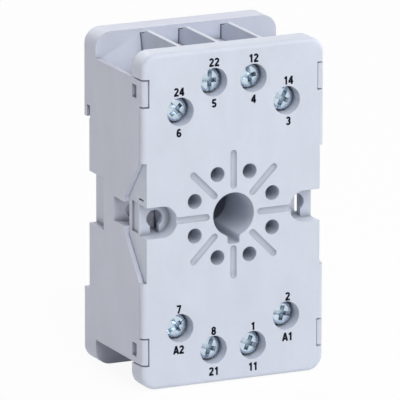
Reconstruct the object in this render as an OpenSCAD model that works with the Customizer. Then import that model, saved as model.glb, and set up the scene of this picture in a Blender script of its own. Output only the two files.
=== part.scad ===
// Eight-pin octal relay socket for a 35 mm rail or a panel, with screw terminals.
// X runs across the socket, Z runs up it, and the front faces -Y.
// The origin is the middle of the plane that seats against the front of the rail.

/* [Body] */
// Width across the side walls
body_w = 37.8; // [37.4:0.2:46]
// Height of the front and rear plates
body_h = 64.9; // [63:0.1:80]
// Front face to the rear feet
depth = 26; // [25.4:0.1:34]
// Radius of the plates' four corners
corner_r = 3; // [1.5:0.1:4]
// Rounding of the front face's outer edge
edge_r = 0.9; // [0.4:0.1:1]
// Clearance between pieces that are fitted once
fit = 0.1; // [0.05:0.01:0.15]
// Clearance round pieces that slide
slide_fit = 0.1; // [0.05:0.01:0.2]

/* [Front block] */
// Thickness of the front plate
plate_t = 4.7; // [4.6:0.1:5.4]
// Part of the front plate that covers the front edge of the side walls
flange_t = 1.2; // [1:0.1:1.6]
// Radius of the hub that holds the relay contacts
hub_r = 12.6; // [11.6:0.1:13.4]
// Back of the hub, measured from the front face
hub_depth = 12; // [11:0.1:13]
// Insulating rib thickness
rib_t = 0.85; // [0.6:0.05:0.9]
// Distance of the left rib from the middle
rib_left = 9; // [7.4:0.1:9.2]
// Distance of the middle rib from the middle, to the left
rib_middle = 1; // [0:0.05:1.1]
// Distance of the right rib from the middle
rib_right = 7.8; // [7.4:0.1:9.2]
// Step from a plate's end down to the ribs
rib_drop = 0.05; // [0:0.05:1]

/* [Octal pattern] */
// Pitch circle of the eight relay pins
pin_pcd = 17.45; // [17:0.05:18]
// Diameter of a pin hole in the front face
pin_hole_d = 2.9; // [2.6:0.05:3.1]
// Diameter of the hole for the relay's key post
key_hole_d = 8.5; // [8:0.1:9]
// Width of the keyway
key_w = 2.5; // [2:0.1:3]
// Reach of the keyway from the centre
key_reach = 5.7; // [5.2:0.1:6.2]
// Width of the sunk lines between the pin holes
groove_w = 1.3; // [0.8:0.1:1.6]
// Depth of the sunk lines
groove_depth = 0.55; // [0.3:0.05:0.65]

/* [Base] */
// Thickness of the rear plate
rear_t = 5; // [4.8:0.1:7]
// Thickness of the side walls
wall_t = 0.9; // [0.8:0.1:1.2]
// Step from a plate's end to the end of the side walls
wall_drop = 5; // [4.6:0.1:6]
// Height of the V-shaped opening in a side, at the front face
vee_h = 23.2; // [20:0.2:25]
// Height of the same opening at its foot
vee_foot_h = 7.2; // [6:0.2:9]
// Depth of the same opening
vee_depth = 8.1; // [7.4:0.1:9]
// Height of the recess in each side behind the V
recess_h = 10.1; // [8:0.1:11]
// Height of the hooks
hook_h = 4.9; // [4:0.1:5.4]
// How far a hook reaches in over the front face
hook_reach = 1.25; // [1.1:0.05:1.5]
// Distance of the floor between the ribs from a plate's end
floor_drop = 3.7; // [3:0.1:4.4]

/* [Rail seat] */
// Height of the mounting rail
rail_h = 35; // [34.5:0.1:35.5]
// Depth of the seat in the rear feet
seat_depth = 2.2; // [2:0.1:2.6]
// Thickness of the lip and the latch tip behind the rail
lip_t = 1.1; // [0.9:0.05:1.3]
// Overlap of the lip and the latch tip on the rail
lip_reach = 2; // [1.6:0.1:2.4]
// Travel of the latch
latch_travel = 3; // [2.4:0.1:3.4]
// Width of the latch
latch_w = 12.2; // [10:0.2:16]

/* [Terminals] */
// Sideways distance of the inner screws from the middle
inner_x = 4.1; // [3.8:0.05:4.2]
// Distance of the inner screws from the plates' ends
inner_drop = 6.5; // [6.2:0.1:7]
// Sideways distance of the outer screws from the middle
outer_x = 11.05; // [11:0.05:12.5]
// Distance of the outer screws from the plates' ends
outer_drop = 11.5; // [11:0.1:12.2]
// Clearance round a screw's head in its hole in the front face
head_gap = 0.4; // [0.3:0.05:0.55]
// Diameter of a terminal screw's thread
thread_d = 3; // [2.6:0.1:3]
// Diameter of a terminal screw's head
head_d = 4.7; // [4.2:0.1:4.8]
// Depth of the screw heads under the front face
head_sink = 2; // [1.6:0.1:2.4]
// Height of a screw's head
head_h = 2.4; // [2:0.1:2.6]
// Width of a clamp plate
clamp_w = 4.6; // [4:0.1:4.7]
// Opening for a wire
wire_gap = 2.75; // [2:0.05:2.9]
// Thickness of a clamp plate
clamp_t = 1; // [0.8:0.1:1.2]
// Thickness of a contact strip
strip_t = 0.8; // [0.6:0.1:1]
// Width of a contact strip
strip_w = 3.6; // [3:0.1:3.8]
// Thickness of the threaded end of a contact strip
tap_t = 1.2; // [1:0.1:1.4]

/* [Panel screws] */
// Distance between the two panel screws
panel_pitch = 29.5; // [29:0.1:30]
// Height of a panel screw's pocket
pocket_h = 6.1; // [5.6:0.1:6.6]
// Depth of a panel screw's pocket
pocket_depth = 3.6; // [3.2:0.1:3.8]
// Diameter of the hole for a panel screw
panel_hole_d = 3.35; // [3.2:0.05:3.8]
// Width of the slot under that hole
panel_slot_w = 1.85; // [1.5:0.05:2.4]

/* [Hidden] */

$fn = 48;
EPS = 0.5; // how far a cutter runs past the surface that it opens

// Planes and outlines, all taken from the driving dimensions
front_y = seat_depth - depth;
half_w = body_w / 2;
half_h = body_h / 2;
rear_front = depth - rear_t;
core_w = half_w - wall_t;
wall_top = half_h - wall_drop;
floor_top = half_h - floor_drop;
pin_r = pin_pcd / 2;
key_corner = 0.5;

// Terminal stack, measured back from the front face
clamp_front = plate_t + 0.2;
clamp_back = clamp_front + clamp_t;
clamp_h = clamp_w + 0.8;
tap_front = clamp_back + wire_gap;
tap_back = tap_front + tap_t;
shelf_front = tap_back + 0.05;
shelf_low = hub_r + 3.6;
strip_front = hub_depth + 0.05;
strip_back = strip_front + strip_t;
strip_step = shelf_low - 1;
screw_tip = tap_back + wire_gap + 0.5;
tip_bore_end = screw_tip + wire_gap + 1;
thread_play = 0.05;

// Diameter of the holes over the screws in the front face
access_d = head_d + 2 * head_gap;

// Relay contacts behind the pin holes
sleeve_t = 0.35;
sleeve_front = 6.2;

// Ribs: flush with the front plate, lower where they enter the rear plate
rib_xs = [-rib_left, -rib_middle, rib_right];
rib_top = half_h - rib_drop;
rib_tip_top = half_h - 1.1;
rib_low = shelf_low - 1.6;
rib_foot = half_h - outer_drop + clamp_h / 2 + 0.4;
rib_root = rear_front - 5;
rib_end = rear_front + 1.4;
rib_gap = 0.25;
ramp_x = core_w - 0.8;
funnel_tilt = 17.5;

// Snap window in the front corner of each side wall
window_front = 2.65;
window_back = 4.6;
window_h = 2.6;
window_z = wall_top - hook_h / 2;
hook_gap = 0.3;

// Panel screw passage
panel_x = panel_pitch / 2;
pocket_r = pocket_h / 2;
pocket_wall = 0.5;
cheek_h = recess_h + 4;
scoop_r = 4.2;
scoop_y = vee_depth + 0.5;

// Latch and its spring
seat_y = depth - seat_depth;
seat_relief = 0.3;
slot_top = rail_h / 2 + 0.3;
seat_low = rail_h / 2 + 0.5;
latch_top = rail_h / 2 + 0.2;
latch_low = -half_h + 0.8;
latch_flange = 1.6;
flange_back = seat_y + 0.2;
latch_front = seat_y - 1.2;
latch_back = depth - 0.2;
spring_d = 2.6;
spring_wire = 0.4;
spring_turns = 6;
spring_play = 0.25;
lug_top = -latch_top - 0.6;
lug_h = 1.2;
spring_top = lug_top - lug_h;
spring_len = latch_travel + spring_turns * spring_wire + 2.4;
spring_y = latch_front - spring_d / 2 - 0.15;

// Octal positions: the angle of each pin hole and the place of its screw
pin_angles = [for (k = [0:7]) -67.5 + 45 * k];
function pin_xz(k) = pin_r * [cos(pin_angles[k]), sin(pin_angles[k])];
function screw_xz(k) =
    let (right = k < 4 ? 1 : -1, top = (k >= 2 && k < 6) ? 1 : -1)
    let (inner = k == 0 || k == 3 || k == 4 || k == 7)
    [right * (inner ? inner_x : outer_x), top * (half_h - (inner ? inner_drop : outer_drop))];
// Angle at which each screw was left
screw_turns = [24, 10, -63, 78, 92, 48, -32, -72];

// A flat outline drawn in X and Z, filled from one depth to another
module slab(from, to) {
    translate([0, front_y + to, 0])
        rotate([90, 0, 0])
            linear_extrude(to - from)
                children();
}

// A flat outline drawn in depth and Z, filled across X
module side_slab(from, to) {
    translate([from, front_y, 0])
        rotate([90, 0, 90])
            linear_extrude(to - from)
                children();
}

module both_sides() {
    children();
    mirror([1, 0, 0]) children();
}

module both_ends() {
    children();
    mirror([0, 0, 1]) children();
}

module span(x0, x1, z0, z1) {
    translate([min(x0, x1), min(z0, z1)]) square([abs(x1 - x0), abs(z1 - z0)]);
}

module rounded_outline(w, h, r) {
    for (sx = [-1, 1], sz = [-1, 1])
        translate([sx * (w / 2 - r), sz * (h / 2 - r)]) circle(r);
    square([w, h - 2 * r], center = true);
    square([w - 2 * r, h], center = true);
}

// ---------- front block ----------

// Front plate with its soft outer edge
module soft_plate(t) {
    steps = 4;
    hull()
        for (i = [0:steps]) {
            a = 90 * i / steps;
            inset = edge_r * (1 - sin(a));
            slab(edge_r * (1 - cos(a)), t)
                rounded_outline(body_w - 2 * inset, body_h - 2 * inset, corner_r - inset, $fn = 32);
        }
}

// Room for the side walls behind the flange, and for the V in the middle
module wall_room() {
    slab(flange_t, plate_t + EPS)
        span(core_w - fit, half_w + EPS, -wall_top - fit, wall_top + fit);
    slab(-EPS, plate_t + EPS)
        span(core_w, half_w + EPS, -vee_h / 2, vee_h / 2);
}

// Seat of a hook in the edge of the face, and the snap window beside it
module hook_room() {
    low = wall_top - hook_h - hook_gap;
    high = wall_top + hook_gap;
    slab(-EPS, plate_t + EPS)
        span(core_w - fit, half_w + EPS, low, high);
    slab(-EPS, flange_t + 0.4)
        span(half_w - hook_reach - 0.2, half_w + EPS, low, high);
    side_slab(core_w - 0.7, half_w + EPS)
        span(window_front, plate_t + EPS, window_z - window_h / 2, window_z + window_h / 2);
}

// Open pocket for the head of a panel screw, with its keyhole
module panel_pocket() {
    slab(-EPS, pocket_depth) {
        translate([panel_x, 0]) circle(pocket_r);
        span(panel_x, half_w + EPS, -pocket_r, pocket_r);
    }
    slab(pocket_depth - EPS, vee_depth + EPS) {
        translate([panel_x, 0]) circle(d = panel_hole_d);
        span(panel_x - panel_slot_w / 2, panel_x + panel_slot_w / 2, 0.15 - pocket_r, 0);
    }
    // hollow behind the pocket, with a groove and a slit in its side
    slab(plate_t, vee_depth + EPS)
        span(panel_x - panel_hole_d / 2 - 0.7, core_w - pocket_wall - 0.4, -pocket_r, pocket_r);
    side_slab(core_w - pocket_wall, half_w + EPS) {
        span(pocket_depth + pocket_wall, vee_depth - 1.25, 0.3 - pocket_r, pocket_r + 0.1);
        span(1.6, pocket_depth, pocket_r + 0.9, pocket_r + 1.25);
    }
}

// Hole for the key post, the pin holes and the sunk lines between them
module octal_face() {
    slab(-EPS, hub_depth + EPS) {
        circle(d = key_hole_d);
        keyway();
    }
    for (k = [0:7]) {
        p = pin_xz(k);
        slab(-EPS, hub_depth + EPS) translate(p) circle(d = pin_hole_d);
        slab(sleeve_front - fit, hub_depth + EPS)
            translate(p) circle(d = pin_hole_d + 2 * (sleeve_t + fit));
    }
    for (k = [0:7])
        rotate([0, -45 * k, 0])
            sunk_line(k == 6 ? key_reach + 0.3 : key_hole_d / 2 + 0.7, pin_r + 3.75);
}

// Outline of the keyway, with soft corners at its foot and where it leaves the hole
module keyway() {
    half = key_w / 2;
    r = key_corner;
    flare_x = half + r;
    flare_z = -sqrt(pow(key_hole_d / 2 + r, 2) - pow(flare_x, 2));
    span(-half, half, r - key_reach, 0);
    span(r - half, half - r, -key_reach, 0);
    for (side = [-1, 1]) {
        translate([side * (half - r), r - key_reach]) circle(r);
        difference() {
            polygon([[0, 0], [side * flare_x, flare_z], [side * half, flare_z], [0, flare_z]]);
            translate([side * flare_x, flare_z]) circle(r);
        }
    }
}

// Shallow trough with round ends, groove_w wide at the face
module sunk_line(from, to) {
    half = groove_w / 2;
    r = (half * half + groove_depth * groove_depth) / (2 * groove_depth);
    translate([from + half, front_y + groove_depth - r, 0]) {
        sphere(r);
        rotate([0, 90, 0]) cylinder(r = r, h = to - from - groove_w);
        translate([to - from - groove_w, 0, 0]) sphere(r);
    }
}

// Outline of a rib: the outer ones step in below the outer clamps
module rib_outline(x, grow = 0) {
    half = rib_t / 2 + grow;
    low_x = abs(x) < inner_x ? x : sign(x) * (inner_x + outer_x) / 2;
    span(x - half, x + half, rib_foot - grow, rib_top + grow);
    span(low_x - half, low_x + half, rib_low - grow, rib_foot + rib_t + grow);
    span(min(x, low_x) - half, max(x, low_x) + half, rib_foot - grow, rib_foot + rib_t + grow);
}

// Outer part of a rib, which runs over the shelf into the rear plate
module rib_tongue(x) {
    side_slab(x - rib_t / 2, x + rib_t / 2)
        polygon([
            [plate_t - EPS, rib_foot], [plate_t - EPS, rib_top], [rear_front - 2.3, rib_top],
            [rear_front - 0.6, rib_tip_top], [rib_end, rib_tip_top], [rib_end, floor_top - 0.5],
            [rib_root, floor_top - 0.5], [rib_root, rib_foot],
        ]);
}

module front_block() color("#d4dae8") {
    difference() {
        union() {
            soft_plate(plate_t);
            slab(plate_t - EPS, hub_depth) circle(hub_r);
            both_sides()
                slab(plate_t - EPS, vee_depth - fit)
                    span(hub_r - 2, core_w - fit, -vee_h / 2, vee_h / 2);
            both_ends()
                for (x = rib_xs) {
                    slab(plate_t - EPS, rib_root) rib_outline(x);
                    rib_tongue(x);
                }
        }
        both_sides() {
            wall_room();
            both_ends() hook_room();
            panel_pocket();
        }
        octal_face();
        for (k = [0:7])
            slab(-EPS, plate_t + EPS) translate(screw_xz(k)) circle(d = access_d);
    }
}

// ---------- base ----------

// Outline of the wire shelf: level in the middle, sloping at the outside
module shelf_outline() {
    left = -rib_left - rib_t / 2 - rib_gap;
    right = rib_right + rib_t / 2 + fit;
    ramp_top = rib_tip_top + rib_gap;
    polygon([
        [-half_w, shelf_low], [-half_w, wall_top], [-ramp_x, wall_top], [left, ramp_top],
        [left, floor_top], [right, floor_top],
        [right, ramp_top], [ramp_x, wall_top], [half_w, wall_top], [half_w, shelf_low],
    ]);
}

// What is cut away beside an outer rib, so that a steep face leads the wire forward
module funnel(rib_side) {
    top = rib_tip_top + rib_gap;
    intersection() {
        slab(shelf_front - EPS, rear_front) span(rib_side, core_w, rib_foot, half_h + EPS);
        translate([rib_side, front_y + rear_front, top])
            rotate([0, atan((top - wall_top) / (ramp_x - rib_side)), 0])
                rotate([-funnel_tilt, 0, 0])
                    translate([-half_w, -depth, -half_h]) cube([body_w, depth, body_h]);
    }
}

// Slots that take a rib: a deep one through the shelf and one in the rear plate
module rib_slot(x) {
    slab(shelf_front - EPS, rib_root + 0.2) rib_outline(x, fit);
    slab(shelf_front - EPS, rib_end + 0.2)
        span(x - rib_t / 2 - rib_gap, x + rib_t / 2 + fit, floor_top - 0.7, rib_tip_top + rib_gap);
}

// Side wall, cut away in a V towards the middle of the front
module side_wall() {
    front = flange_t + fit;
    back = rear_front + EPS;
    foot = vee_foot_h / 2;
    side_slab(core_w, half_w)
        polygon([
            [back, wall_top], [front, wall_top], [front, vee_h / 2 + fit],
            [vee_depth, foot], [vee_depth, -foot],
            [front, -vee_h / 2 - fit], [front, -wall_top], [back, -wall_top],
        ]);
}

// Hook that snaps over the edge of the front block
module hook() {
    front = 0.15;
    r = 0.7;
    back = flange_t + 0.3;
    translate([0, 0, wall_top - hook_h])
        linear_extrude(hook_h)
            translate([0, front_y]) {
                translate([half_w - hook_reach, front]) square([hook_reach - r, back - front]);
                translate([half_w - r, front + r]) circle(r);
                translate([core_w, front + r]) square([half_w - core_w, flange_t + 0.4 - front - r]);
            }
}

// Solid cheek behind a panel screw's pocket
module cheek() {
    slab(vee_depth, rear_front + EPS)
        span(hub_r + fit, half_w, -cheek_h / 2, cheek_h / 2);
    slab(strip_back + fit, rear_front + EPS)
        span(hub_r - 2, half_w, -cheek_h / 2, cheek_h / 2);
}

// Round hollow in the outside of a cheek
module scoop(low, high) {
    translate([half_w + 0.7, front_y + scoop_y, low])
        cylinder(r = scoop_r, h = high - low);
}

// Room for the rail, with a slot behind the fixed lip at the top
module rail_seat() {
    lip_low = slot_top - lip_reach - 0.3;
    slab(seat_y, depth + EPS) span(-half_w - EPS, half_w + EPS, -seat_low, lip_low);
    slab(seat_y - seat_relief, depth - lip_t)
        span(-half_w - EPS, half_w + EPS, lip_low - seat_relief, slot_top);
    slab(seat_y - seat_relief, depth + EPS)
        span(-latch_w / 2 - slide_fit, latch_w / 2 + slide_fit, -seat_low,
             lip_reach + seat_relief - rail_h / 2);
}

// Channel that the latch slides in, with the chamber of its spring
module latch_channel() {
    w = latch_w / 2 + slide_fit;
    chamber = spring_d / 2 + spring_play;
    slab(latch_front - slide_fit, flange_back + slide_fit)
        span(-w - latch_flange, w + latch_flange, -half_h - EPS, slide_fit - latch_top);
    slab(flange_back - EPS, depth + EPS)
        span(-w, w, -half_h - EPS, slide_fit - latch_top);
    slab(spring_y - chamber, latch_front)
        span(-chamber, chamber, spring_top - spring_len, lug_top + slide_fit);
}

module base() color("#b4b6c2") {
    difference() {
        union() {
            slab(rear_front, depth) rounded_outline(body_w, body_h, corner_r);
            both_ends() slab(shelf_front, rear_front + EPS) shelf_outline();
            both_sides() {
                side_wall();
                cheek();
                both_ends() hook();
            }
        }
        both_ends() {
            for (x = rib_xs)
                rib_slot(x);
            funnel(rib_right + rib_t / 2 + fit);
            mirror([1, 0, 0]) funnel(rib_left + rib_t / 2 + rib_gap);
        }
        // room for the tips of the terminal screws
        for (k = [0:7])
            slab(shelf_front - EPS, tip_bore_end) translate(screw_xz(k)) circle(d = thread_d + 0.8);
        both_sides() {
            slab(vee_depth - EPS, depth + EPS) translate([panel_x, 0]) circle(d = panel_hole_d + 0.8);
            side_slab(half_w - 1.4, half_w + EPS)
                span(rear_front - 3.6, depth + EPS, -recess_h / 2, recess_h / 2);
            both_ends()
                side_slab(core_w - EPS, half_w + EPS)
                    span(window_front, window_back, window_z - window_h / 2, window_z + window_h / 2);
        }
        mirror([1, 0, 0]) scoop(-2.1, 2.6);
        scoop(-4.2, 2.6);
        rail_seat();
        latch_channel();
    }
    // ring that backs the relay contacts
    slab(strip_back + fit, rear_front + EPS)
        difference() {
            circle(pin_r + 1.6);
            circle(pin_r - 1.6);
        }
}

// ---------- contacts ----------

// One contact: a socket sleeve, a strip behind the hub, a step and the threaded end
module contact(k) color("#c9a86a") {
    pin = pin_xz(k);
    screw = screw_xz(k);
    top = sign(screw[1]);
    knee = [screw[0], top * (abs(screw[0]) > inner_x ? hub_r - 3.6 : hub_r)];
    difference() {
        union() {
            slab(sleeve_front, strip_front + 0.1) translate(pin) circle(d = pin_hole_d + 2 * sleeve_t);
            slab(strip_front, strip_back) {
                strip_leg(pin, knee);
                strip_leg(knee, [screw[0], top * (strip_step + strip_t - strip_w / 2)]);
            }
            slab(tap_front, strip_back)
                span(screw[0] - strip_w / 2, screw[0] + strip_w / 2,
                     top * strip_step, top * (strip_step + strip_t));
            slab(tap_front, tap_back)
                span(screw[0] - clamp_w / 2, screw[0] + clamp_w / 2,
                     top * strip_step, screw[1] + top * (clamp_h / 2 - 0.2));
        }
        slab(sleeve_front - EPS, strip_front - 0.8) translate(pin) circle(d = pin_hole_d - 0.5);
        slab(tap_front - EPS, tap_back + EPS) translate(screw) circle(d = thread_d + 2 * thread_play);
    }
}

module strip_leg(from, to) {
    run = to - from;
    translate(from) circle(d = strip_w);
    translate(to) circle(d = strip_w);
    translate(from) rotate(atan2(run[1], run[0]) - 90)
        translate([-strip_w / 2, 0]) square([strip_w, norm(run)]);
}

// ---------- clamps and screws ----------

// Square clamp plate with two grooves across its wire side
module clamp(k) color("#b9bec6") {
    p = screw_xz(k);
    difference() {
        slab(clamp_front, clamp_back) translate(p) rounded_outline(clamp_w, clamp_h, 0.5);
        slab(clamp_front - EPS, clamp_back + EPS) translate(p) circle(d = thread_d + 2 * thread_play);
        for (z = [-1, 1] * (clamp_h / 2 - 0.75))
            slab(clamp_back - 0.3, clamp_back + EPS)
                translate(p) span(-clamp_w / 2 - EPS, clamp_w / 2 + EPS, z - 0.2, z + 0.2);
    }
}

// Pan-head terminal screw with a combined slot and cross recess
module terminal_screw(k) color("#c8d0d6") {
    p = screw_xz(k);
    r = head_d / 2;
    dome = 0.7;
    slot_w = 0.85;
    cross_l = 2.9;
    collar = clamp_front - head_sink - 0.05;
    tip = screw_tip - head_sink;
    chamfer = 0.4;
    translate([p[0], front_y + head_sink, p[1]])
        rotate([-90, 0, 0])
            rotate(screw_turns[k])
                difference() {
                    rotate_extrude()
                        polygon(concat(
                            [[0, 0]],
                            [for (a = [0:15:90]) [r - dome + dome * sin(a), dome * (1 - cos(a))]],
                            [[r, head_h], [r - 0.4, head_h], [r - 0.4, collar], [thread_d / 2, collar],
                             [thread_d / 2, tip - chamfer], [thread_d / 2 - chamfer, tip], [0, tip]]));
                    translate([-r - EPS, -slot_w / 2, -EPS]) cube([2 * r + 2 * EPS, slot_w, 0.9 + EPS]);
                    for (a = [0, 90])
                        rotate(a) translate([-cross_l / 2, -slot_w / 2, -EPS])
                            cube([cross_l, slot_w, 1.5 + EPS]);
                }
}

// ---------- latch ----------

// Sliding latch: a T-shaped tongue with a tip behind the rail and a screwdriver slot
module rail_latch() color("#9ea3ae") {
    w = latch_w / 2;
    flange_w = w + latch_flange - slide_fit;
    tip_top = -rail_h / 2 + lip_reach;
    slot_z = latch_low + 2;
    difference() {
        union() {
            slab(latch_front, flange_back) span(-flange_w, flange_w, latch_low, -latch_top);
            slab(flange_back - EPS, latch_back) span(-w, w, latch_low, -latch_top);
            side_slab(-w, w)
                polygon([
                    [depth - lip_t, -latch_top - EPS], [depth - lip_t, tip_top],
                    [latch_back - 0.5, tip_top], [latch_back, tip_top - 1],
                    [latch_back, -latch_top - EPS],
                ]);
            slab(spring_y - spring_d / 2, latch_front + EPS)
                span(-spring_d / 2, spring_d / 2, spring_top, lug_top);
        }
        slab(latch_back - 1.2, latch_back + EPS) span(-w / 2, w / 2, slot_z, slot_z + 1.2);
    }
}

// Wire run along a path, closed at both ends
module wire(path, d, sides) {
    n = len(path);
    points = [for (i = [0:n - 1])
        let (a = path[max(i - 1, 0)], b = path[min(i + 1, n - 1)], t = (b - a) / norm(b - a))
        let (u = cross([0, 0, 1], t) / norm(cross([0, 0, 1], t)), v = cross(t, u))
        for (k = [0:sides - 1])
            let (angle = 360 * k / sides)
            path[i] + d / 2 * (cos(angle) * u + sin(angle) * v)];
    tube = [for (i = [0:n - 2], k = [0:sides - 1])
        let (next = (k + 1) % sides, a = i * sides + k, b = a + sides)
        let (c = (i + 1) * sides + next, e = i * sides + next)
        each [[a, b, c], [a, c, e]]];
    caps = [
        [for (k = [0:sides - 1]) k],
        [for (k = [sides - 1:-1:0]) (n - 1) * sides + k],
    ];
    polyhedron(points, concat(tube, caps));
}

// Compression spring that pushes the latch up
module latch_spring() color("#b8bcc2") {
    steps = 12;
    count = steps * spring_turns;
    r = (spring_d - spring_wire) / 2;
    play = 0.1;
    rise = spring_len - spring_wire - 2 * play;
    translate([0, front_y + spring_y, spring_top - spring_len + play + spring_wire / 2])
        wire([for (i = [0:count]) [r * cos(i * 360 / steps), r * sin(i * 360 / steps), rise * i / count]],
            spring_wire, 6);
}

base();
front_block();
rail_latch();
latch_spring();
contact(0);  // contact_1
contact(1);  // contact_2
contact(2);  // contact_3
contact(3);  // contact_4
contact(4);  // contact_5
contact(5);  // contact_6
contact(6);  // contact_7
contact(7);  // contact_8
clamp(0);  // clamp_1
clamp(1);  // clamp_2
clamp(2);  // clamp_3
clamp(3);  // clamp_4
clamp(4);  // clamp_5
clamp(5);  // clamp_6
clamp(6);  // clamp_7
clamp(7);  // clamp_8
terminal_screw(0);  // screw_1
terminal_screw(1);  // screw_2
terminal_screw(2);  // screw_3
terminal_screw(3);  // screw_4
terminal_screw(4);  // screw_5
terminal_screw(5);  // screw_6
terminal_screw(6);  // screw_7
terminal_screw(7);  // screw_8
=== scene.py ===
"""Eight-pin relay socket: the finishes of its moulded, plated and stamped parts, its printed numbers,
the latch's wound spring, and a plain studio."""

import math

import bpy
import numpy as np
from mathutils import Matrix, Vector


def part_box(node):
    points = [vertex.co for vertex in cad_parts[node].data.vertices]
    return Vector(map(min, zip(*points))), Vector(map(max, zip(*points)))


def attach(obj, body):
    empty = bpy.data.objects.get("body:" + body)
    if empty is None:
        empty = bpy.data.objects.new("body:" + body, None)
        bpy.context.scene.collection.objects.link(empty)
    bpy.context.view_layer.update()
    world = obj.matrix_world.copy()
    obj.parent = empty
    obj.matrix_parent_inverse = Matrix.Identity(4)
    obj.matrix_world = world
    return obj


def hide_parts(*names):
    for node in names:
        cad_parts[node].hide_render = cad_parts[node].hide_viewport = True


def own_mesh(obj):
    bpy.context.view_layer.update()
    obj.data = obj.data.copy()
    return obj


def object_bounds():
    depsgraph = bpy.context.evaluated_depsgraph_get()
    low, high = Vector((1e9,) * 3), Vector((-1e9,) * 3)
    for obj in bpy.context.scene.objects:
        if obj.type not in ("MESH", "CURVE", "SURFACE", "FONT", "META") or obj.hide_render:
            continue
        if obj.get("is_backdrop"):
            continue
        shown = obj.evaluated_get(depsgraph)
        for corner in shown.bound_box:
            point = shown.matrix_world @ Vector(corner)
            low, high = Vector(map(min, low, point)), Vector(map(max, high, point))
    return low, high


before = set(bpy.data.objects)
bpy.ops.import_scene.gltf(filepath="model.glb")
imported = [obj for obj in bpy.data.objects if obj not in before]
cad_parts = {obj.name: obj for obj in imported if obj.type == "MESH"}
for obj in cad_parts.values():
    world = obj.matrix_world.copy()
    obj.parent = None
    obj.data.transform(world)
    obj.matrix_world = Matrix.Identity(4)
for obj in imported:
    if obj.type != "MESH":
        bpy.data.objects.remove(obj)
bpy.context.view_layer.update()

bl_info = {
    "name": "Relay Socket",
    "version": (1, 0, 0),
    "blender": (4, 5, 0),
    "location": "View3D > Sidebar > Relay Socket",
    "description": "Finishes, terminal numbers and studio of an eight-pin relay socket",
    "category": "Object",
}

MM = 0.001
# the floor lies a hair under the part, so that the two faces never share a plane
FLOOR_GAP = 0.2 * MM
FLOOR_SIDE = 3.0
# share of white glow in what is seen of the floor; the rest is lit, and carries the part's shadow
FLOOR_GLOW = 0.93
ROOM_GLOW = 0.15
LAMP_DISTANCE = 0.9
# terminal screws farther than this from the middle are outer ones
OUTER_FROM = 8 * MM
FACE_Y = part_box("front_block")[0].y
# broken edge of the metal pieces
METAL_EDGE = 0.1 * MM
# corners closer than this are one corner of a piece's surface
WELD_REACH = 0.002 * MM
SHARP_EDGE = math.radians(30)


def linear(code):
    """An sRGB hex colour such as #D4DAE8 as linear red, green and blue."""
    parts = [int(code[i : i + 2], 16) / 255 for i in (1, 3, 5)]
    return tuple(c / 12.92 if c <= 0.04045 else ((c + 0.055) / 1.055) ** 2.4 for c in parts)


# ---------- sizes and colours ----------


def length(name, text, default, low=0.0):
    """A length in metres that a user may change."""
    return bpy.props.FloatProperty(
        name=name, description=text, default=default, min=low, unit="LENGTH", subtype="DISTANCE", precision=5
    )


def colour(name, text, code):
    """A colour that a user may change, from its sRGB hex value."""
    return bpy.props.FloatVectorProperty(
        name=name, description=text, default=linear(code), size=3, min=0, max=1, subtype="COLOR"
    )


class RelaySocketSizes(bpy.types.PropertyGroup):
    """Sizes of the print, the spring, the moulded surface and the lamps"""

    digit_h: length("Digit height", "Height of the printed terminal numbers", 1.62 * MM)
    digit_w: length("Digit width", "Width of one printed digit with its gap", 1.12 * MM)
    ink_t: length("Ink thickness", "How far the print stands proud of the face", 0.012 * MM)
    above_rise: length("Upper number", "From a screw's middle up to its upper number's middle", 3.78 * MM)
    below_drop: length("Lower number", "From a screw's middle down to its lower number's middle", 4.1 * MM)
    outer_out: length("Outer offset", "How far the outer numbers stand outside their screws", 0.3 * MM)
    end_out: length("Row offset", "How far each row of numbers stands towards its end of the face", 0.07 * MM)
    stroke: length("Stroke", "Width of a printed stroke", 0.39 * MM)
    spring_wire: length("Spring wire", "Diameter of the latch spring's wire", 0.4 * MM)
    spring_turns: bpy.props.IntProperty(
        name="Spring turns", description="Turns of the latch spring", default=6, min=3
    )
    grain: length("Mould grain", "Width of the grain left by the spark-eroded mould", 0.32 * MM, 0.05 * MM)
    soft_edge: length("Moulded edge", "Radius left on the moulded edges", 0.1 * MM)
    lamp_size: length("Lamp size", "Side of each square studio lamp", 0.6)


class RelaySocketColours(bpy.types.PropertyGroup):
    """Colours of the plastics, the metals and the ink"""

    front: colour("Front", "Front block's plastic", "#D5DBE8")
    base: colour("Base", "Base's plastic", "#D2D6E4")
    latch: colour("Latch", "Rail latch's plastic", "#9EA3AE")
    ink: colour("Ink", "Printed numbers", "#0A0C1E")
    zinc: colour("Zinc", "Zinc plating on the screws and clamps", "#CFDDEA")
    brass: colour("Brass", "Relay contacts", "#CDB88A")
    steel: colour("Spring steel", "Latch spring", "#B8BCC2")


# ---------- materials ----------


def add_node(tree, kind, settings=(), links=()):
    """Adds a node, sets its properties and then its sockets, and links its inputs to other nodes' outputs."""
    made = tree.nodes.new(kind)
    on_sockets = {}
    for key, value in dict(settings).items():
        if isinstance(key, str) and key not in made.inputs:
            setattr(made, key, value)
        else:
            on_sockets[key] = value
    for key, value in on_sockets.items():
        made.inputs[key].default_value = value
    for key, source in dict(links).items():
        tree.links.new(source, made.inputs[key])
    return made


def new_material(name):
    """A new node material, its node tree and its output node."""
    material = bpy.data.materials.new(name)
    material.use_nodes = True
    material.node_tree.nodes.clear()
    out = add_node(material.node_tree, "ShaderNodeOutputMaterial")
    return material, material.node_tree, out


def shade(rgb, factor):
    """A linear colour made lighter or darker, as a four-part colour."""
    return (*[min(1.0, c * factor) for c in rgb], 1.0)


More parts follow.
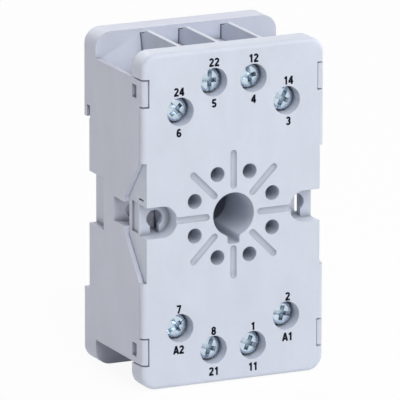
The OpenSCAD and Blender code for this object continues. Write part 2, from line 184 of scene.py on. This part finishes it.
def noise_at(tree, coords, width, detail=2.0, stretch=(1, 1, 1)):
    """Noise whose patches are about width metres across, stretched along the axes."""
    mapping = add_node(tree, "ShaderNodeMapping", {"Scale": stretch}, {"Vector": coords})
    return add_node(
        tree,
        "ShaderNodeTexNoise",
        {"Scale": 1 / width, "Detail": detail, "Roughness": 0.55},
        {"Vector": mapping.outputs[0]},
    ).outputs["Fac"]


def spread(tree, source, low, high):
    """Noise between 0.3 and 0.7 turned into a number between low and high."""
    return add_node(
        tree,
        "ShaderNodeMapRange",
        {"From Min": 0.3, "From Max": 0.7, "To Min": low, "To Max": high},
        {"Value": source},
    ).outputs["Result"]


def grey(tree, level):
    """A level between 0 and 1 as the grey of that brightness."""
    return add_node(tree, "ShaderNodeCombineColor", {}, {i: level for i in range(3)}).outputs[0]


def tinted_patches(tree, rgb, dark, light, noise):
    """A colour that wanders with the noise from dark to light times itself."""
    return add_node(
        tree,
        "ShaderNodeMix",
        {"data_type": "RGBA", 6: shade(rgb, dark), 7: shade(rgb, light)},
        {0: spread(tree, noise, 0.0, 1.0)},
    ).outputs[2]


def multiply(tree, share, first, second):
    """A share of the product of two colours, over the first one."""
    return add_node(
        tree,
        "ShaderNodeMix",
        {"data_type": "RGBA", "blend_type": "MULTIPLY", 0: share},
        {6: first, 7: second},
    ).outputs[2]


def painted_crease_shade(tree, colour_out, reach, depth, own):
    """A colour darkened down to depth times itself where a surface within reach faces it, as in grooves and
    holes: painted shade, standing in for the light that gets in there only a little. With own, only the same
    piece counts, so that a seam to its neighbour stays as light as its rim."""
    openness = add_node(
        tree, "ShaderNodeAmbientOcclusion", {"samples": 8, "only_local": own, "Distance": reach}
    ).outputs["AO"]
    kept = add_node(
        tree,
        "ShaderNodeMapRange",
        {"From Min": 0.25, "From Max": 0.95, "To Min": depth, "To Max": 1.0},
        {"Value": openness},
    ).outputs["Result"]
    return multiply(tree, 1.0, colour_out, grey(tree, kept))


def soft_bump(tree, height, strength, distance, soft_edge):
    """The normal of a surface with rounded edges and a fine relief that follows the height."""
    edge = add_node(tree, "ShaderNodeBevel", {"samples": 4, "Radius": soft_edge})
    return add_node(
        tree,
        "ShaderNodeBump",
        {"Strength": strength, "Distance": distance},
        {"Height": height, "Normal": edge.outputs[0]},
    ).outputs[0]


def surface(tree, out, settings, links):
    """Sends a principled shader with these settings and links to the material's output."""
    shader = add_node(tree, "ShaderNodeBsdfPrincipled", settings, links)
    tree.links.new(shader.outputs[0], out.inputs["Surface"])


def moulded_plastic(name, rgb, grain, soft_edge, rough=0.46):
    """Injection-moulded thermoplastic: satin, with the mould's spark-eroded grain, faint flow marks and soft
    edges."""
    material, tree, out = new_material(name)
    coords = add_node(tree, "ShaderNodeTexCoord").outputs["Object"]
    # flow marks: patches 6 mm wide, drawn out along the length, a shade lighter or darker
    flow = noise_at(tree, coords, 6 * MM, 3.0, (1, 1, 0.5))
    # specks under 1 mm wide, too faint to be seen singly, that break up the highlights
    speck = noise_at(tree, coords, 0.7 * MM)
    mixed = tinted_patches(tree, rgb, 0.965, 1.03, flow)
    mixed = multiply(tree, 0.35, mixed, grey(tree, spread(tree, speck, 0.95, 1.0)))
    # the real grain is about 0.05 mm; it is drawn several times coarser so that it shows
    height = noise_at(tree, coords, grain)
    # the base colour is darkened with painted shade in the piece's own grooves and holes
    surface(
        tree,
        out,
        {"IOR": 1.5, "Specular IOR Level": 0.45},
        {
            "Base Color": painted_crease_shade(tree, mixed, 1.6 * MM, 0.3, True),
            "Roughness": spread(tree, speck, rough - 0.05, rough + 0.06),
            "Normal": soft_bump(tree, height, 0.35, 0.012 * MM, soft_edge),
        },
    )
    return material


def worked_metal(name, rgb, rough, mark, stretch=(1, 1, 1)):
    """A metal surface: faint marks of its working, patches a little brighter or duller, and broken edges."""
    material, tree, out = new_material(name)
    coords = add_node(tree, "ShaderNodeTexCoord").outputs["Object"]
    patch = noise_at(tree, coords, 1.6 * MM, 3.0)
    marks = noise_at(tree, coords, mark, 2.0, stretch)
    mixed = tinted_patches(tree, rgb, 0.88, 1.06, patch)
    # the base colour is darkened with painted shade in recesses and where other pieces stand close
    surface(
        tree,
        out,
        {"Metallic": 1.0},
        {
            "Base Color": painted_crease_shade(tree, mixed, 0.6 * MM, 0.25, False),
            "Roughness": spread(tree, marks, rough - 0.06, rough + 0.08),
            "Normal": soft_bump(tree, marks, 0.4, 0.008 * MM, METAL_EDGE),
        },
    )
    return material


def printing_ink(name, rgb):
    """Pad-printed ink: near black, thin enough that its cover varies a little, duller than the plastic."""
    material, tree, out = new_material(name)
    coords = add_node(tree, "ShaderNodeTexCoord").outputs["Object"]
    cover = noise_at(tree, coords, 0.3 * MM, 3.0)
    mixed = tinted_patches(tree, rgb, 0.8, 1.4, cover)
    surface(
        tree,
        out,
        {"IOR": 1.45, "Specular IOR Level": 0.25},
        {"Base Color": mixed, "Roughness": spread(tree, cover, 0.5, 0.65)},
    )
    return material


def finish_node(name, material):
    """Gives a CAD node its material, and shades it smooth up to SHARP_EDGE with its flat faces kept flat."""
    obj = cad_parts[name]
    obj.data.materials.clear()
    obj.data.materials.append(material)
    if "custom_normal" in obj.data.attributes:
        obj.data.attributes.remove(obj.data.attributes["custom_normal"])
    obj.data.polygons.foreach_set("use_smooth", np.ones(len(obj.data.polygons), bool))
    weld = obj.modifiers.new("join", "WELD")
    weld.merge_threshold = WELD_REACH
    split = obj.modifiers.new("edges", "EDGE_SPLIT")
    split.split_angle = SHARP_EDGE
    flat = obj.modifiers.new("flats", "WEIGHTED_NORMAL")
    flat.mode = "FACE_AREA"


# ---------- operators ----------


class RELAYSOCKET_OT_housing(bpy.types.Operator):
    """Give the front block and the base their moulded plastic"""

    bl_idname = "relaysocket.housing"
    bl_label = "Housing"

    def execute(self, context):
        sizes, tint = context.scene.relay_socket_sizes, context.scene.relay_socket_colours
        front = moulded_plastic("light_grey_polyamide", tint.front, sizes.grain, sizes.soft_edge)
        base = moulded_plastic("light_grey_polyamide_base", tint.base, sizes.grain, sizes.soft_edge, 0.5)
        finish_node("front_block", front)
        finish_node("base", base)
        return {"FINISHED"}


class RELAYSOCKET_OT_latch(bpy.types.Operator):
    """Give the rail latch its plastic"""

    bl_idname = "relaysocket.latch"
    bl_label = "Rail latch"

    def execute(self, context):
        sizes, tint = context.scene.relay_socket_sizes, context.scene.relay_socket_colours
        latch = moulded_plastic("mid_grey_acetal", tint.latch, sizes.grain, sizes.soft_edge, 0.4)
        finish_node("rail_latch", latch)
        return {"FINISHED"}


def coil_arrays(radius, low, high, wire, turns, sides=10, steps=32):
    """A compression spring as arrays. Its wire's centre runs round a circle of the given radius while it
    climbs from low to high, slowly in the first and last turn, which lie nearly closed. At each step a ring of
    points stands round the centre, half the wire's diameter away, and each ring is joined to the next."""
    u = np.linspace(0, 1, turns * steps + 1)
    angle = 2 * np.pi * turns * u
    ease = np.interp(u, [0, 1 / turns, 1 - 1 / turns, 1], [0, wire, high - low - wire, high - low])
    middle = np.column_stack([radius * np.cos(angle), radius * np.sin(angle), low + ease])
    along = np.gradient(middle, axis=0)
    along /= np.linalg.norm(along, axis=1)[:, None]
    out = np.column_stack([np.cos(angle), np.sin(angle), np.zeros_like(angle)])
    up = np.cross(out, along)
    turn = 2 * np.pi * np.arange(sides) / sides
    ring = np.cos(turn)[None, :, None] * out[:, None] + np.sin(turn)[None, :, None] * up[:, None]
    points = middle[:, None] + ring * wire / 2
    first = sides * np.arange(len(u) - 1)[:, None]
    second = first + sides
    side = np.arange(sides)
    after = (side + 1) % sides
    quads = np.stack([first + side, second + side, second + after, first + after], 2).reshape(-1, 4)
    end = sides * (len(u) - 1)
    caps = [list(range(sides)), list(range(end + sides - 1, end - 1, -1))]
    return points.reshape(-1, 3), quads.tolist() + caps


class RELAYSOCKET_OT_spring(bpy.types.Operator):
    """Wind the latch's spring from round wire"""

    bl_idname = "relaysocket.spring"
    bl_label = "Latch spring"

    def execute(self, context):
        sizes, tint = context.scene.relay_socket_sizes, context.scene.relay_socket_colours
        low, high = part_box("latch_spring")
        wire = sizes.spring_wire
        points, faces = coil_arrays(
            (high.x - low.x - wire) / 2, low.z + wire / 2, high.z - wire / 2, wire, sizes.spring_turns
        )
        centre = (low + high) / 2
        mesh = bpy.data.meshes.new("wound_spring")
        mesh.from_pydata((points + (centre.x, centre.y, 0)).tolist(), [], faces)
        mesh.polygons.foreach_set("use_smooth", np.ones(len(mesh.polygons), bool))
        mesh.materials.append(worked_metal("drawn_spring_steel", tint.steel, 0.3, 0.15 * MM))
        spring = bpy.data.objects.new("wound_spring", mesh)
        context.scene.collection.objects.link(spring)
        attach(spring, "housing")
        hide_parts("latch_spring")
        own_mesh(spring)
        return {"FINISHED"}


class RELAYSOCKET_OT_terminals(bpy.types.Operator):
    """Finish the zinc-plated screws and clamps and the brass contacts"""

    bl_idname = "relaysocket.terminals"
    bl_label = "Screws, clamps and contacts"

    def execute(self, context):
        tint = context.scene.relay_socket_colours
        screw = worked_metal("bright_zinc_plated_steel", tint.zinc, 0.26, 0.4 * MM)
        clamp = worked_metal("zinc_plated_steel_plate", tint.zinc, 0.34, 0.5 * MM)
        brass = worked_metal("stamped_brass", tint.brass, 0.36, 0.3 * MM, (1, 1, 6))
        for k in range(1, 9):
            finish_node(f"screw_{k}", screw)
            finish_node(f"clamp_{k}", clamp)
            finish_node(f"contact_{k}", brass)
        return {"FINISHED"}


# Terminal numbers above and below the screws, in the order of the CAD nodes
ABOVE = ("1", "2", "14", "12", "22", "24", "7", "8")
BELOW = ("11", "A1", "3", "4", "5", "6", "A2", "21")


# points of an arc's centre line
ARC_POINTS = 25
# middle of a glyph, in shares of the digit height
GLYPH_MIDDLE = (0.3, 0.5)
# share of a digit's width that the figure 1 takes
NARROW_ONE = 0.88


def line(x0, z0, x1, z1):
    """A straight stroke's centre line, in shares of the digit height."""
    return np.array([[x0, z0], [x1, z1]])


def arc(x, z, rx, rz, start, end):
    """A curved stroke's centre line: (x + rx cos a, z + rz sin a) between two angles in degrees."""
    a = np.radians(np.linspace(start, end, ARC_POINTS))
    return np.column_stack([x + rx * np.cos(a), z + rz * np.sin(a)])


# Strokes of the bold, narrow numerals on the socket
GLYPHS = {
    "1": (line(0.38, 0, 0.38, 1), line(0.14, 0.72, 0.37, 0.88)),
    "2": (arc(0.3, 0.7, 0.2, 0.2, 165, -38), line(0.46, 0.58, 0.1, 0.12), line(0.02, 0.1, 0.6, 0.1)),
    "3": (arc(0.3, 0.71, 0.185, 0.19, 160, -95), arc(0.3, 0.3, 0.2, 0.2, 95, -160)),
    "4": (line(0.43, 0, 0.43, 1), line(0.4, 0.9, 0.08, 0.34), line(0, 0.3, 0.62, 0.3)),
    "5": (line(0.12, 0.9, 0.56, 0.9), line(0.17, 0.92, 0.12, 0.47), arc(0.29, 0.32, 0.21, 0.22, 140, -155)),
    "6": (arc(0.3, 0.31, 0.2, 0.21, 0, 360), arc(0.31, 0.5, 0.21, 0.4, 205, 45)),
    "7": (line(0.02, 0.9, 0.6, 0.9), line(0.5, 0.9, 0.22, 0)),
    "8": (arc(0.3, 0.72, 0.175, 0.18, 0, 360), arc(0.3, 0.29, 0.2, 0.19, 0, 360)),
    "A": (line(0.02, 0, 0.3, 1), line(0.58, 0, 0.3, 1), line(0.1, 0.28, 0.5, 0.28)),
}


def band(path, half, thickness):
    """A flat band along a path: at each point of the path a rectangle stands across it, twice half wide and
    thickness deep, and each rectangle's corners are joined to the next one's, with a cap at both ends."""
    along = np.gradient(path, axis=0)
    along /= np.linalg.norm(along, axis=1)[:, None]
    side = np.column_stack([-along[:, 1], along[:, 0]]) * half
    ends = [(path + side, 0.5), (path - side, 0.5), (path - side, -0.5), (path + side, -0.5)]
    ring = np.stack([np.column_stack([xz, np.full(len(xz), depth * thickness)]) for xz, depth in ends], 1)
    corner = np.arange(4)
    after = (corner + 1) % 4
    first = 4 * np.arange(len(path) - 1)[:, None]
    sides = np.stack([first + corner, first + after, first + 4 + after, first + 4 + corner], 2)
    last = 4 * (len(path) - 1)
    caps = [[3, 2, 1, 0], [last, last + 1, last + 2, last + 3]]
    return ring.reshape(-1, 3), np.vstack([sides.reshape(-1, 4), caps])


def number_arrays(text, height, advance, stroke, thickness):
    """A short number as arrays: each glyph's strokes as bands, side by side at a fixed advance, centred."""
    points, faces, start, x = [], [], 0, 0.0
    for letter in text:
        step = advance * (NARROW_ONE if letter == "1" else 1.0)
        for path in GLYPHS[letter]:
            placed = (path - GLYPH_MIDDLE) * height + (x + step / 2, 0)
            verts, quads = band(placed, stroke / 2, thickness)
            points.append(verts)
            faces.append(quads + start)
            start += len(verts)
        x += step
    return np.vstack(points) - (x / 2, 0, 0), np.vstack(faces)


class RELAYSOCKET_OT_numbers(bpy.types.Operator):
    """Print the terminal numbers above and below the screws"""

    bl_idname = "relaysocket.numbers"
    bl_label = "Terminal numbers"

    def execute(self, context):
        sizes, tint = context.scene.relay_socket_sizes, context.scene.relay_socket_colours
        ink = printing_ink("pad_printing_ink", tint.ink)
        for k in range(8):
            low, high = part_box(f"screw_{k + 1}")
            centre = (low + high) / 2
            # the outer numbers stand a little outside their screws, and each row a little towards its end
            outwards = sizes.outer_out if abs(centre.x) > OUTER_FROM else 0.0
            x = centre.x + math.copysign(outwards, centre.x)
            z = centre.z + math.copysign(sizes.end_out, centre.z)
            rows = (("above", ABOVE[k], sizes.above_rise), ("below", BELOW[k], -sizes.below_drop))
            for row, text, rise in rows:
                # half of the band's thickness stands proud of the face, and half is in the plastic
                points, faces = number_arrays(
                    text, sizes.digit_h, sizes.digit_w, sizes.stroke, sizes.ink_t * 2
                )
                placed = np.column_stack([points[:, 0] + x, FACE_Y - points[:, 2], points[:, 1] + z + rise])
                mesh = bpy.data.meshes.new(f"number_{row}_{k + 1}")
                mesh.from_pydata(placed.tolist(), [], faces.tolist())
                mesh.materials.append(ink)
                obj = bpy.data.objects.new(mesh.name, mesh)
                context.scene.collection.objects.link(obj)
                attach(obj, "housing")
        return {"FINISHED"}


class RELAYSOCKET_OT_stage(bpy.types.Operator):
    """Build the pale floor, the soft light and the camera"""

    bl_idname = "relaysocket.stage"
    bl_label = "Studio"

    def execute(self, context):
        scene, sizes = context.scene, context.scene.relay_socket_sizes
        pale_floor(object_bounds()[0][2] - FLOOR_GAP)
        soft_light(scene, sizes.lamp_size)
        aim_camera(scene)
        scene.view_settings.view_transform = "Standard"
        return {"FINISHED"}


# each lamp's turn from the front to the right and its rise, in degrees, its power in watts and its colour
LAMPS = (
    ("front_lamp", 0, 35, 3.9, "#FFFFFF"),
    ("top_lamp", 0, 70, 2.5, "#FFFFFF"),
    ("right_lamp", 90, 20, 3.0, "#FFFFFF"),
    ("left_lamp", -90, 5, 1.0, "#FFF6F6"),
    ("back_lamp", 180, 25, 3.0, "#FFFFFF"),
)


def looking_rays(tree):
    """1 for rays that look at a thing, straight, in a reflection or through glass, and 0 for those that light
    it."""
    rays = add_node(tree, "ShaderNodeLightPath").outputs
    share = rays["Is Camera Ray"]
    for kind in ("Is Glossy Ray", "Is Transmission Ray"):
        more = add_node(tree, "ShaderNodeMath", {"operation": "MAXIMUM"}, {0: share, 1: rays[kind]})
        share = more.outputs[0]
    return share


def mix_shaders(tree, share, first, second):
    """The first node's shader, and a share of the second node's over it."""
    links = {0: share, 1: first.outputs[0], 2: second.outputs[0]}
    return add_node(tree, "ShaderNodeMixShader", {}, links)


def pale_floor(height):
    """A flat square white floor under the lowest point of the part. From below it can be seen through."""
    half = FLOOR_SIDE / 2
    corners = [(x, y, height) for x, y in ((-half, -half), (half, -half), (half, half), (-half, half))]
    mesh = bpy.data.meshes.new("floor")
    mesh.from_pydata(corners, [], [(0, 1, 2, 3)])
    floor = bpy.data.objects.new("floor", mesh)
    bpy.context.scene.collection.objects.link(floor)
    material, tree, out = new_material("white_paper")
    matt = add_node(tree, "ShaderNodeBsdfDiffuse", {"Color": (0.9, 0.9, 0.9, 1)})
    glow = add_node(tree, "ShaderNodeEmission", {"Color": (1, 1, 1, 1), "Strength": 1.0})
    part = add_node(tree, "ShaderNodeMath", {"operation": "MULTIPLY", 1: FLOOR_GLOW}, {0: looking_rays(tree)})
    paper = mix_shaders(tree, part.outputs[0], matt, glow)
    clear = add_node(tree, "ShaderNodeBsdfTransparent")
    under = add_node(tree, "ShaderNodeNewGeometry").outputs["Backfacing"]
    shown = mix_shaders(tree, under, paper, clear)
    tree.links.new(shown.outputs[0], out.inputs["Surface"])
    mesh.materials.append(material)
    floor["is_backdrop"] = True


def towards(turn, rise):
    """The direction that is turned from the front to the right and raised by these angles."""
    return Vector((math.sin(turn) * math.cos(rise), -math.cos(turn) * math.cos(rise), math.sin(rise)))


def soft_light(scene, lamp_size):
    """A dim even room with five soft lamps: two in front, one at each side and one behind."""
    world = bpy.data.worlds.new("white_room")
    world.use_nodes = True
    tree = world.node_tree
    tree.nodes.clear()
    room = add_node(tree, "ShaderNodeBackground", {"Color": (1, 1, 1, 1), "Strength": ROOM_GLOW})
    seen = add_node(tree, "ShaderNodeBackground", {"Color": (1, 1, 1, 1), "Strength": 1.0})
    both = mix_shaders(tree, looking_rays(tree), room, seen)
    add_node(tree, "ShaderNodeOutputWorld", {}, {"Surface": both.outputs[0]})
    scene.world = world
    for name, turn, rise, watts, tint in LAMPS:
        lamp = bpy.data.lights.new(name, "AREA")
        lamp.shape = "SQUARE"
        lamp.size = lamp_size
        lamp.energy = watts
        lamp.color = linear(tint)
        obj = bpy.data.objects.new(name, lamp)
        place = LAMP_DISTANCE * towards(math.radians(turn), math.radians(rise))
        obj.location = place
        obj.rotation_euler = place.to_track_quat("Z", "Y").to_euler()
        scene.collection.objects.link(obj)


def aim_camera(scene):
    """A long lens to the left of the front face and a little above it."""
    turn, rise, roll = math.radians(-25.531), math.radians(14.384), math.radians(0.127)
    distance, lens, sensor = 1.7055, 816.12, 36
    # the key hole stands this far to the right of the view's middle, and this far below it
    aside, below = 6.3119 * MM, 2.6933 * MM
    back = towards(turn, rise)
    right = Vector((math.cos(turn), math.sin(turn), 0))
    up = back.cross(right)
    right, up = right * math.cos(roll) + up * math.sin(roll), up * math.cos(roll) - right * math.sin(roll)
    place = Vector((0, FACE_Y, 0)) + back * distance
    axis = (back * distance + right * aside - up * below).normalized()
    side = up.cross(axis).normalized()
    top = axis.cross(side)
    camera = bpy.data.cameras.new("camera")
    camera.sensor_width = sensor
    camera.lens = lens
    camera.clip_start = 0.1
    camera.clip_end = 10
    obj = bpy.data.objects.new("camera", camera)
    obj.matrix_world = Matrix.Translation(place) @ Matrix((side, top, axis)).transposed().to_4x4()
    scene.collection.objects.link(obj)
    scene.camera = obj


class RELAYSOCKET_PT_panel(bpy.types.Panel):
    """Lists the sizes, the colours and the steps that finish the socket"""

    bl_idname = "RELAYSOCKET_PT_panel"
    bl_label = "Relay Socket"
    bl_space_type = "VIEW_3D"
    bl_region_type = "UI"
    bl_category = "Relay Socket"

    def draw(self, context):
        for group in (context.scene.relay_socket_sizes, context.scene.relay_socket_colours):
            column = self.layout.column(align=True)
            for name in group.__annotations__:
                column.prop(group, name)
        for step in STEPS:
            self.layout.operator(step.bl_idname)


STEPS = (
    RELAYSOCKET_OT_housing,
    RELAYSOCKET_OT_latch,
    RELAYSOCKET_OT_spring,
    RELAYSOCKET_OT_terminals,
    RELAYSOCKET_OT_numbers,
    RELAYSOCKET_OT_stage,
)
CLASSES = (RelaySocketSizes, RelaySocketColours, *STEPS, RELAYSOCKET_PT_panel)


def register():
    for cls in CLASSES:
        bpy.utils.register_class(cls)
    bpy.types.Scene.relay_socket_sizes = bpy.props.PointerProperty(type=RelaySocketSizes)
    bpy.types.Scene.relay_socket_colours = bpy.props.PointerProperty(type=RelaySocketColours)


def unregister():
    del bpy.types.Scene.relay_socket_colours
    del bpy.types.Scene.relay_socket_sizes
    for cls in reversed(CLASSES):
        bpy.utils.unregister_class(cls)


def main():
    """Registers the add-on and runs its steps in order."""
    register()
    for step in STEPS:
        group, name = step.bl_idname.split(".")
        getattr(getattr(bpy.ops, group), name)()


if __name__ == "__main__":
    main()
